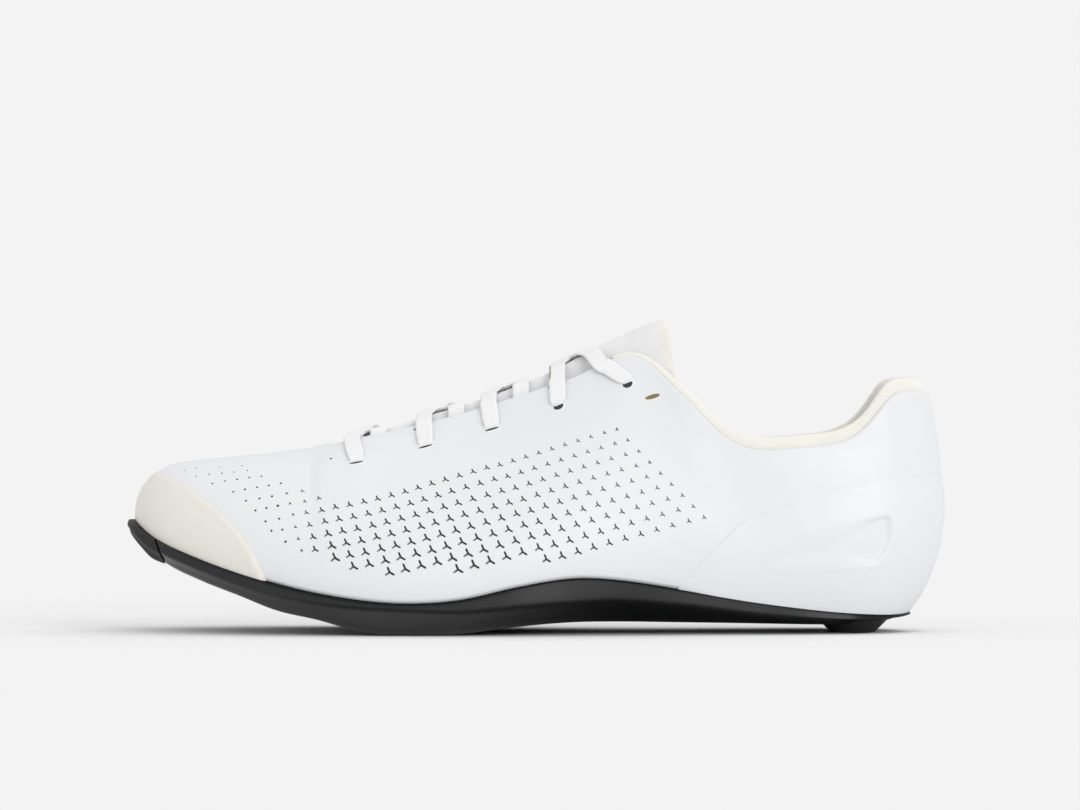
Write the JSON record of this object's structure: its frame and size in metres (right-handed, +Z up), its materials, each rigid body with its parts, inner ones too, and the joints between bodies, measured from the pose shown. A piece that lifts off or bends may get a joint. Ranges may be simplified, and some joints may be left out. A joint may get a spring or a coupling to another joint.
{
  "type": "cycling shoe",
  "caption": "Low lace-up road cycling shoe with a stiff curved sole, padded collar, toe cap and heel counter.",
  "frame": {"origin": "middle of the shoe's length and width, on the floor plane under its sole", "axes": "+X from the toe to the heel, +Y to the inner side of the foot, +Z up"},
  "size_m": [0.2904, 0.0978, 0.1118],
  "materials": {
    "sole_plate": "satin black moulded composite",
    "tread_rubber": "matt black rubber",
    "upper_skin": "white coated microfibre, fine grain",
    "toe_rubber": "cream matt coating",
    "counter_shell": "white moulded film, satin",
    "collar_lining": "cream brushed lining",
    "footbed": "light grey cloth on foam",
    "tongue_cloth": "white cloth over foam",
    "lace_webbing": "white flat woven lace"
  },
  "bodies": {
    "root": {"sole": "sole_plate", "toe_bumper": "tread_rubber", "heel_pad": "tread_rubber", "upper": "upper_skin", "toe_cap": "toe_rubber", "heel_counter": "counter_shell", "collar": "collar_lining", "insole": "footbed", "tongue": "tongue_cloth", "lace_crossing_1": "lace_webbing", "lace_crossing_2": "lace_webbing", "lace_crossing_3": "lace_webbing", "lace_crossing_4": "lace_webbing"}
  },
  "joints": []
}
